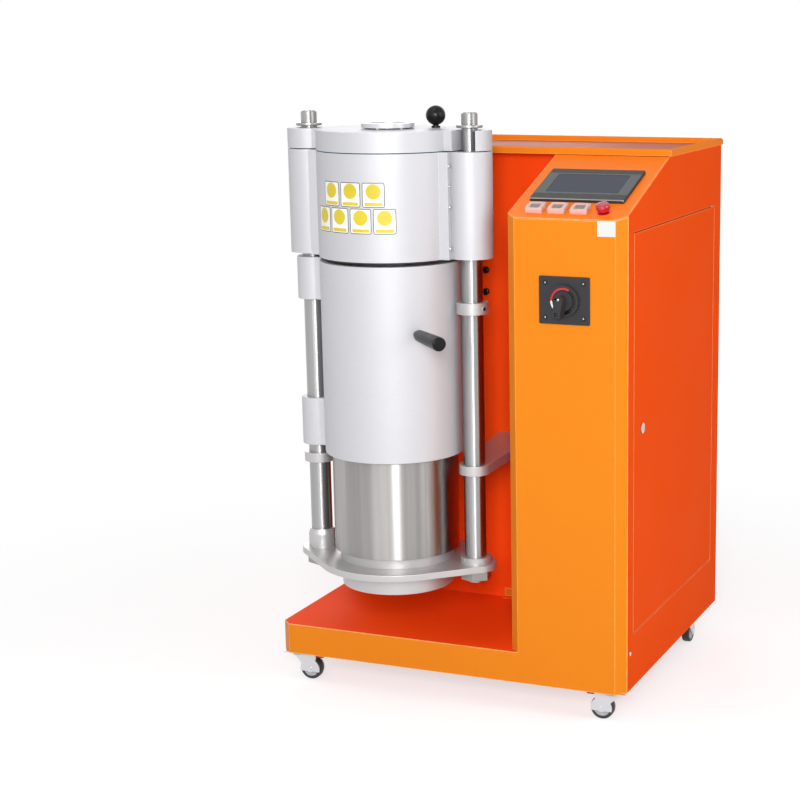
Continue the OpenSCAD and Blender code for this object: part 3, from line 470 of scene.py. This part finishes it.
def add_socket_screw(bm, place, r, h):
    """A screw head with a hexagonal socket."""
    steps = 36
    dome = 0.25
    key = r * 0.52
    flat = r * 0.82
    add_lathe(bm, [(0, 0), (r, 0), (r, h * (1 - dome)), (r * 0.94, h * (1 - dome / 3)),
                   (flat, h)], place, steps)
    rim = [bm.verts.new(place @ Vector((flat * math.cos(a), flat * math.sin(a), h)))
           for a in (2 * math.pi * i / steps for i in range(steps))]
    hexa = []
    for i in range(steps):
        a = 2 * math.pi * i / steps
        reach = key * math.cos(math.pi / 6) / math.cos((a % (math.pi / 3)) - math.pi / 6)
        hexa.append((reach * math.cos(a), reach * math.sin(a)))
    top = [bm.verts.new(place @ Vector((x, y, h))) for x, y in hexa]
    low = [bm.verts.new(place @ Vector((x, y, h - h * 0.55))) for x, y in hexa]
    for a, b in ((rim, top), (top, low)):
        for i in range(steps):
            j = (i + 1) % steps
            bm.faces.new((a[i], a[j], b[j], b[i]))
    bm.faces.new(low)


def add_pan_screw(bm, place, r, h):
    """A plain domed pan head."""
    add_lathe(bm, [(0, 0), (r, 0), (r, h * 0.45), (r * 0.9, h * 0.8), (r * 0.6, h),
                   (0, h * 1.04)], place, 32)


def screws(name, look, body, spots, r, h, kind=add_socket_screw):
    """One piece of alike screw heads; a spot is a place, a direction and a turn."""
    bm = bmesh.new()
    for at, direction, spin in spots:
        kind(bm, facing(direction, at, spin), r, h)
    return finish_mesh(bm, name, look, body)


# ---------- control slope ----------

def on_slope(x, s, out=0.0):
    """A placement on the sloped panel: s metres up the slope, out metres off it."""
    at = Vector((x, FRONT + s * math.cos(SLOPE) - out * math.sin(SLOPE),
                 FRONT_TOP + s * math.sin(SLOPE) + out * math.cos(SLOPE)))
    return Matrix.Translation(at) @ Matrix.Rotation(SLOPE, 4, "X")


def add_frame(bm, place, outer, inner, levels):
    """A closed frame between two outlines of equal length; levels gives the heights and
    the shares of the outlines' sizes, from the outer foot over the top to the inner foot."""
    rings = []
    for side, share, z in levels:
        outline = outer if side == "outer" else inner
        rings.append([bm.verts.new(place @ Vector((x * share, y * share, z)))
                      for x, y in outline])
    rings.append(rings[0])
    for a, b in zip(rings, rings[1:]):
        for k in range(len(a)):
            j = (k + 1) % len(a)
            bm.faces.new((a[k], a[j], b[j], b[k]))


def controls():
    """What the screen, the buttons and the stop show beside their CAD solids."""
    hmi_s = 147 * MM       # middle of the screen, up the slope
    face = 6 * MM          # height of the screen frame's face off the panel
    # light line along the frame's lower edge
    bm = bmesh.new()
    add_prism(bm, rounded_rect(0.1990, 0.0026, 0.0012), 0.0022,
              on_slope(HMI_X, hmi_s - 0.0716, 0.0045), 0.0008)
    finish_mesh(bm, "screen_sill", "silver_trim", "cabinet")
    # grey glass round the lit window, and the dark bands above and below it
    bm = bmesh.new()
    t = 0.0003             # half the thickness of a glass sheet
    add_frame(bm, on_slope(HMI_X, hmi_s + 0.004, face), rounded_rect(0.1965, 0.0985, 0.0010),
              rounded_rect(0.1542, 0.0862, 0.0008),
              (("outer", 1, -t), ("outer", 1, t), ("inner", 1, t), ("inner", 1, -t)))
    finish_mesh(bm, "screen_surround", "grey_glass", "cabinet")
    bm = bmesh.new()
    for s, h in ((0.0632, 0.0176), (-0.0585, 0.0256)):
        add_prism(bm, rounded_rect(0.1965, h, 0.0010), 2 * t,
                  on_slope(HMI_X, hmi_s + s, face - t))
    finish_mesh(bm, "screen_bands", "glass_band", "cabinet")
    # soft-cornered translucent rims of the push buttons
    for i in range(3):
        button_x = BUTTON_X + i * BUTTON_STEP
        bm = bmesh.new()
        lift = 0.0012
        add_frame(bm, on_slope(button_x, BUTTON_S, 0.009),
                  rounded_rect(0.0348, 0.0328, 0.0075), rounded_rect(0.0222, 0.0222, 0.0045),
                  (("outer", 1, -0.002), ("outer", 1, lift * 0.3), ("outer", 0.95, lift * 0.8),
                   ("outer", 0.88, lift), ("inner", 1.1, lift), ("inner", 1, lift * 0.5),
                   ("inner", 1, -0.002)))
        finish_mesh(bm, f"button_rim_{i + 1}", "bezel_plastic", "cabinet")
        # soft dark dome in the middle of each button
        bm = bmesh.new()
        add_lathe(bm, [(0, 0), (0.0078, 0), (0.0076, 0.0004), (0.005, 0.0009), (0, 0.0011)],
                  on_slope(button_x, BUTTON_S, 0.0074), 32)
        finish_mesh(bm, f"button_dome_{i + 1}", "cap_plastic", f"push_{i + 1}")
    # red skirt round the foot of the emergency stop
    bm = bmesh.new()
    add_lathe(bm, [(0.0062, 0), (0.0133, 0), (0.0133, 0.0009), (0.0126, 0.0013), (0.0062, 0.0013),
                   (0.0062, 0)], on_slope(STOP_X, STOP_S), 48)
    finish_mesh(bm, "stop_skirt", "red_plastic", "cabinet")


DIAL_FLOOR = 0.007         # how far the dial's sunk face stands in front of its plate
GRIP_FACE = 0.0364         # how far the grip's face does
GRIP_TILT = math.radians(10)


def on_grip(x, y):
    """A placement on the grip's face, facing front."""
    c, s = math.cos(GRIP_TILT), math.sin(GRIP_TILT)
    return facing(FORWARD, SWITCH + Vector((x * c + y * s, -GRIP_FACE, y * c - x * s)))


def dial_marks():
    """The switch's dial: its dark face, the red and white arcs, a screw, and a bright stud on the
    grip that is a painted highlight.
    """
    def arc(name, look, start, stop):
        bm = bmesh.new()
        r0, r1, t, n = 0.0226, 0.0266, 0.0002, 24  # radii, thickness, steps
        rows = []
        for i in range(n + 1):
            a = math.radians(start + (stop - start) * i / n)
            c, s = math.cos(a), math.sin(a)
            rows.append([bm.verts.new(SWITCH + Vector((r * c, -DIAL_FLOOR - z, r * s)))
                         for r, z in ((r0, -t), (r1, -t), (r1, 2 * t), (r0, 2 * t))])
        for a, b in zip(rows, rows[1:]):
            for k in range(4):
                j = (k + 1) % 4
                bm.faces.new((a[k], a[j], b[j], b[k]))
        bm.faces.new(rows[0])
        bm.faces.new(rows[-1])
        finish_mesh(bm, name, look, "cabinet")

    bm = bmesh.new()
    add_lathe(bm, [(0.0056, -0.0002), (0.0269, -0.0002), (0.0269, 0.0002), (0.0056, 0.0002),
                   (0.0056, -0.0002)],
              facing(FORWARD, SWITCH + Vector((0, -DIAL_FLOOR, 0))), 64)
    finish_mesh(bm, "dial_face", "gloss_black", "cabinet")
    arc("dial_mark_red", "red_mark", 60, 180)
    arc("dial_mark_white", "white_mark", 180, 235)
    screws("dial_screw", "gloss_black", "cabinet",
           [(SWITCH + Vector((0.0166, -DIAL_FLOOR, -0.0164)), FORWARD, 0.3)], 0.0022, 0.001)
    # a bright steel stud on the grip's face: a painted highlight where its corner catches the
    # light
    bm = bmesh.new()
    add_lathe(bm, [(0, -0.0002), (0.0024, -0.0002), (0.0022, 0.0003), (0.0014, 0.0007),
                   (0, 0.0009)], on_grip(-0.0005, 0.0065), 32)
    finish_mesh(bm, "grip_highlight_stud", "bright_steel", "switch")


def fasteners():
    """The screws and bolts of the cover_screws node, and black rings of painted shade for the
    recesses round the plate's screws.
    """
    spots = []
    for sx in (-1, 1):
        for sz in (-1, 1):
            at = SWITCH + Vector((sx * 0.040, 0, sz * 0.0345))
            spots.append((at, FORWARD, rng.uniform(0, 1.5)))
    plate = screws("plate_screws", "silver_trim", "cabinet", spots, 0.0019, 0.0012,
                   add_pan_screw)
    # black rings round the plate's screws: painted shade of their countersunk recesses
    bm = bmesh.new()
    for at, direction, _ in spots:
        add_lathe(bm, [(0.0019, 0), (0.005, 0), (0.0047, 0.0006), (0.0026, 0.0008), (0.0019, 0)],
                  facing(direction, at), 32)
    finish_mesh(bm, "plate_screw_shade", "gloss_black", "cabinet")
    wall_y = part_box("bay_back_wall")[0].y + 0.014
    wall_lo = chamber_lo.z - 0.121 + 0.006
    wall = [(Vector((x, wall_y, z)), FORWARD, 0.3)
            for x in (VESSEL.x - 0.084, VESSEL.x + 0.084)
            for z in (wall_lo, wall_lo + 0.048)]
    screws("wall_bolts", "black_bolt", "cabinet", wall, 0.008, 0.008)
    clamp_x = VESSEL.x + COL_GAP / 2 - 0.025
    clamp_y = VESSEL.y - 0.048
    clamp = [(Vector((clamp_x, clamp_y, chamber_lo.z + dz)), RIGHTWARD, 0.2)
             for dz in (0.022, 0.105, 0.186)]
    screws("lug_screws", "bright_steel", "cabinet", clamp, 0.0042, 0.0026)
    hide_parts("cover_screws")
    small = [(Vector((clamp_x, clamp_y, chamber_lo.z + 0.146)), RIGHTWARD, 0.5)]
    screws("lug_pin", "bright_steel", "cabinet", small, 0.0026, 0.0018)
    turn = math.radians(-21)   # way the clamp collar's screw faces
    out = Vector((math.cos(turn), math.sin(turn), 0))
    at = VESSEL + Vector((COL_GAP / 2, 0, chamber_lo.z - 0.10175)) + out * 0.034
    screws("ring_screw", "black_bolt", "cabinet", [(at, out, 0.2)], 0.0038, 0.0012)
    low = Vector((RIGHT, FRONT + 0.0374, 0.144))
    screws("side_screw", "bright_steel", "cabinet", [(low, RIGHTWARD, 0.1)], 0.0045, 0.0018,
           add_pan_screw)


def wall_fold_highlight():
    """A plate of the front's paler paint on the fold that ties the bay's back wall to its floor: a
    painted highlight, the fold made lighter than the wall.
    """
    floor_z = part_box("bay_floor")[1].z
    wall_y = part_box("bay_back_wall")[0].y + 0.012
    bm = bmesh.new()
    add_prism(bm, rounded_rect(0.0184, 0.0182, 0.0006, 3), 0.0004,
              facing(FORWARD, Vector((VESSEL.x + 0.1305, wall_y, floor_z + 0.0115))), 0.0001)
    # front_paint here is a painted highlight on the wall's own paint
    finish_mesh(bm, "wall_fold_highlight", "front_paint", "cabinet")


def blank_plates():
    """Plain plates in place of the machine's labels: curved on the vessel, flat in front."""
    def patch(bm, angle, z, w, h, lift, radius):
        nx, nz = 12, 8
        grid = {}
        r_cyl = VESSEL_R + lift
        for i in range(nx + 1):
            for j in range(nz + 1):
                x = -w / 2 + w * i / nx
                y = -h / 2 + h * j / nz
                ax, ay = abs(x) - (w / 2 - radius), abs(y) - (h / 2 - radius)
                if ax > 0 and ay > 0:
                    k = max(ax, ay) / math.hypot(ax, ay)
                    x = math.copysign(w / 2 - radius + ax * k, x)
                    y = math.copysign(h / 2 - radius + ay * k, y)
                a = angle + x / r_cyl
                for level, r in enumerate((VESSEL_R - 0.0002, r_cyl)):
                    grid[i, j, level] = bm.verts.new(
                        VESSEL + Vector((r * math.sin(a), -r * math.cos(a), z + y)))
        for i in range(nx):
            for j in range(nz):
                for level in (0, 1):
                    bm.faces.new([grid[i + a, j + b, level]
                                  for a, b in ((0, 0), (1, 0), (1, 1), (0, 1))])
        edge = ([(i, 0) for i in range(nx)] + [(nx, j) for j in range(nz)]
                + [(i, nz) for i in range(nx, 0, -1)] + [(0, j) for j in range(nz, 0, -1)])
        for (i, j), (k, l) in zip(edge, edge[1:] + edge[:1]):
            bm.faces.new([grid[i, j, 0], grid[k, l, 0], grid[k, l, 1], grid[i, j, 1]])

    for kind, look, grow, lift in (("borders", "sticker_line", 0.0, 0.0002),
                                   ("plates", "sticker", -0.0028, 0.0003)):
        bm = bmesh.new()
        for angle, z, w, h in STICKERS:
            patch(bm, angle, z, w + grow, h + grow, lift, 0.0035 + grow / 2)
        finish_mesh(bm, "sticker_" + kind, look, "cabinet", 60)
    bm = bmesh.new()
    for angle, z, w, h in STICKERS:
        round_mark = w * 0.66
        patch(bm, angle, z + h * 0.14, round_mark, round_mark, 0.00042, round_mark / 2)
        patch(bm, angle, z - h * 0.37, w * 0.78, h * 0.13, 0.00042, 0.0008)
    finish_mesh(bm, "sticker_marks", "sticker_yellow", "cabinet", 60)
    bm = bmesh.new()
    at = Vector((PLATE_X, FRONT, PLATE_Z))
    add_prism(bm, rounded_rect(0.0372, 0.0305, 0.0008, 3), 0.0005, facing(FORWARD, at), 0.0001)
    finish_mesh(bm, "blank_plate", "white_plate", "cabinet")


# each plate's angle round the vessel from straight ahead, its height up the machine, and
# its width and height
STICKERS = ([(a, 1.0765, 0.0458, 0.0486) for a in (-0.449, -0.106, 0.234)]
            + [(a, 1.0246, 0.0458, 0.0500) for a in (-0.642, -0.300, 0.042, 0.382)])
PLATE_X = 0.3565
PLATE_Z = 1.0150

controls()
dial_marks()
fasteners()
wall_fold_highlight()
blank_plates()


# ---------- induction coil ----------

def copper_coil():
    """Round copper turns of the induction coil with their leads."""
    bm = bmesh.new()
    leads_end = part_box("induction_coil")[1].y - VESSEL.y
    r_coil = 0.078
    z0 = chamber_lo.z + 0.045
    turns, pitch, tube = 7, 0.0158, 0.005
    up = Vector((0, 0, 1))
    sides, per_turn = 12, 48
    count = turns * per_turn
    rows = []
    for i in range(count + 1):
        a = math.radians(78) + 2 * math.pi * i / per_turn
        centre = Vector((VESSEL.x + r_coil * math.cos(a), VESSEL.y + r_coil * math.sin(a),
                         z0 + pitch * i / per_turn))
        out = Vector((math.cos(a), math.sin(a), 0))
        rows.append([bm.verts.new(centre + tube * (out * math.cos(b) + up * math.sin(b)))
                     for b in (2 * math.pi * k / sides for k in range(sides))])
    for a, b in zip(rows, rows[1:]):
        for k in range(sides):
            j = (k + 1) % sides
            bm.faces.new((a[k], a[j], b[j], b[k]))
    bm.faces.new(rows[0])
    bm.faces.new(list(reversed(rows[-1])))
    for x in (-0.016, 0.016):
        place = facing(BACKWARD, Vector((VESSEL.x + x, VESSEL.y + 0.074, chamber_lo.z + 0.060)))
        add_lathe(bm, [(0.0028, 0), (0.005, 0.0004), (0.005, leads_end - 0.0745),
                       (0.0046, leads_end - 0.0741), (0.0028, leads_end - 0.0741),
                       (0.0028, 0)], place, 20)
    coil = finish_mesh(bm, "copper_coil", "copper", "cabinet")
    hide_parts("induction_coil")


copper_coil()


# ---------- casters ----------

def wheel_piece(node, body, axis):
    """A tyre with a rounded tread on a ribbed hub, in place of the plain wheel."""
    lo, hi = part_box(node)
    place = facing(axis, (lo + hi) / 2)
    r = (hi.z - lo.z) / 2
    half = 0.009           # half the tyre's width
    bm = bmesh.new()
    profile = [(0.0182, -half + 0.0006), (r - 0.003, -half), (r - 0.0012, -half + 0.0008),
               (r - 0.0002, -half + 0.0028), (r, 0), (r - 0.0002, half - 0.0028),
               (r - 0.0012, half - 0.0008), (r - 0.003, half), (0.0182, half - 0.0006),
               (0.0182, -half + 0.0006)]
    add_lathe(bm, profile, place, 72)
    tyre = finish_mesh(bm, node + "_tyre", "tread", body)
    bm = bmesh.new()
    add_lathe(bm, [(0.00415, -half), (0.0095, -half), (0.0105, -half + 0.002),
                   (0.012, -half + 0.0035), (0.0165, -half + 0.0035),
                   (0.0181, -half + 0.0012), (0.0181, half - 0.0012),
                   (0.0165, half - 0.0035), (0.012, half - 0.0035), (0.0105, half - 0.002),
                   (0.0095, half), (0.00415, half), (0.00415, -half)], place, 48)
    ribs = 6
    for i in range(ribs):
        for side in (-1, 1):
            a = 2 * math.pi * i / ribs
            turn = place @ Matrix.Rotation(a, 4, "Z")
            at = turn @ Matrix.Translation(Vector((0.0135, 0, side * (half - 0.0036))))
            if side < 0:
                at = at @ Matrix.Rotation(math.pi, 4, "X")
            add_prism(bm, rounded_rect(0.0075, 0.0016, 0.0004, 2), 0.0014, at, 0.0003)
    finish_mesh(bm, node + "_hub", "housing", body)
    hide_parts(node)


for tag, axis in (("front_right", BACKWARD), ("front_left", BACKWARD),
                  ("rear_right", RIGHTWARD), ("rear_left", RIGHTWARD)):
    wheel_piece("wheel_" + tag, "roller_" + tag, axis)


# ---------- stage, light, camera ----------

def seen_directly(look):
    """1 for rays from the camera, off glossy surfaces and through clear ones."""
    path = look.nodes.new("ShaderNodeLightPath")
    one = look.nodes.new("ShaderNodeMath")
    one.operation = "MAXIMUM"
    two = look.nodes.new("ShaderNodeMath")
    two.operation = "MAXIMUM"
    look.links.new(path.outputs["Is Camera Ray"], one.inputs[0])
    look.links.new(path.outputs["Is Glossy Ray"], one.inputs[1])
    look.links.new(one.outputs[0], two.inputs[0])
    look.links.new(path.outputs["Is Transmission Ray"], two.inputs[1])
    return two.outputs[0]


def stage():
    """A floor that is white to the camera and holds a soft shadow near the machine."""
    mat = bpy.data.materials.new("floor")
    mat.use_nodes = True
    tree = mat.node_tree
    tree.nodes.clear()
    new, link = tree.nodes.new, tree.links.new
    out = new("ShaderNodeOutputMaterial")
    plain = new("ShaderNodeBsdfDiffuse")
    plain.inputs["Color"].default_value = (0.8, 0.8, 0.8, 1)
    soft = new("ShaderNodeBsdfDiffuse")
    soft.inputs["Color"].default_value = (0.46, 0.46, 0.46, 1)
    glow = new("ShaderNodeEmission")
    glow.inputs["Strength"].default_value = 0.62
    white = new("ShaderNodeEmission")
    both = new("ShaderNodeAddShader")
    link(soft.outputs[0], both.inputs[0])
    link(glow.outputs[0], both.inputs[1])
    where = new("ShaderNodeTexCoord")
    far = new("ShaderNodeVectorMath")
    far.operation = "LENGTH"
    link(where.outputs["Object"], far.inputs[0])
    fade = new("ShaderNodeMapRange")
    fade.interpolation_type = "SMOOTHSTEP"
    fade.inputs["From Min"].default_value = 0.8
    fade.inputs["From Max"].default_value = 1.9
    link(far.outputs["Value"], fade.inputs["Value"])
    shown = new("ShaderNodeMixShader")
    link(fade.outputs["Result"], shown.inputs[0])
    link(both.outputs[0], shown.inputs[1])
    link(white.outputs[0], shown.inputs[2])
    final = new("ShaderNodeMixShader")
    link(seen_directly(tree), final.inputs[0])
    link(plain.outputs[0], final.inputs[1])
    link(shown.outputs[0], final.inputs[2])
    link(final.outputs[0], out.inputs[0])
    bm = bmesh.new()
    bmesh.ops.create_circle(bm, cap_ends=True, segments=96, radius=20)
    mesh = bpy.data.meshes.new("floor")
    bm.to_mesh(mesh)
    bm.free()
    mesh.materials.append(mat)
    floor = bpy.data.objects.new("floor", mesh)
    bpy.context.scene.collection.objects.link(floor)


def world():
    """White where it is seen, dimmer as a light."""
    w = bpy.data.worlds.new("studio")
    w.use_nodes = True
    tree = w.node_tree
    tree.nodes.clear()
    new, link = tree.nodes.new, tree.links.new
    out = new("ShaderNodeOutputWorld")
    dim = new("ShaderNodeBackground")
    dim.inputs["Color"].default_value = (1, 1, 1, 1)
    dim.inputs["Strength"].default_value = 0.37
    bright = new("ShaderNodeBackground")
    bright.inputs["Color"].default_value = (1, 1, 1, 1)
    bright.inputs["Strength"].default_value = 1.0
    mix = new("ShaderNodeMixShader")
    link(seen_directly(tree), mix.inputs[0])
    link(dim.outputs[0], mix.inputs[1])
    link(bright.outputs[0], mix.inputs[2])
    link(mix.outputs[0], out.inputs[0])
    bpy.context.scene.world = w


def lamp(name, at, aim, size, power):
    """A rectangular lamp of power watts, aimed at a point."""
    data = bpy.data.lights.new(name, "AREA")
    data.shape = "RECTANGLE"
    data.size, data.size_y = size
    data.energy = power
    ob = bpy.data.objects.new(name, data)
    ob.location = at
    ob.rotation_euler = (Vector(aim) - Vector(at)).to_track_quat("-Z", "Y").to_euler()
    bpy.context.scene.collection.objects.link(ob)


def camera():
    """The camera as fitted to the photo."""
    data = bpy.data.cameras.new("camera")
    data.sensor_width = 36
    data.lens = 81.86
    data.shift_x = -0.175
    data.shift_y = 0.0125
    data.clip_end = 100
    yaw, pitch, roll = (math.radians(a) for a in (21.4375, 12.0503, -0.414))
    ahead = Vector((-math.sin(yaw) * math.cos(pitch), math.cos(yaw) * math.cos(pitch),
                    -math.sin(pitch)))
    side = Vector((math.cos(yaw), math.sin(yaw), 0))
    up = side.cross(ahead)
    side, up = (side * math.cos(roll) + up * math.sin(roll),
                up * math.cos(roll) - side * math.sin(roll))
    turn = Matrix((side, up, -ahead)).transposed().to_4x4()
    ob = bpy.data.objects.new("camera", data)
    ob.matrix_world = Matrix.Translation(Vector((1.5160, -3.5808, 1.4071))) @ turn
    bpy.context.scene.collection.objects.link(ob)
    bpy.context.scene.camera = ob


stage()
world()
lamp("key", (-1.7, -3.2, 2.7), (0, 0, 0.7), (2.2, 2.2), 8)
lamp("front", (1.45, -3.65, 1.75), (0, 0, 0.65), (0.7, 0.9), 95)
lamp("bay", (0.1, -4.0, 1.9), (0, 0, 0.65), (1.3, 1.6), 26)
lamp("top", (-0.5, -1.2, 3.8), (0, -0.1, 0.6), (1.6, 1.6), 12)
lamp("side", (3.4, -0.6, 1.8), (0.3, 0, 0.6), (1.8, 2.2), 34)
lamp("rear", (-2.0, 3.4, 2.2), (0, 0, 0.6), (2.4, 2.0), 40)
camera()
bpy.context.scene.view_settings.view_transform = "Standard"
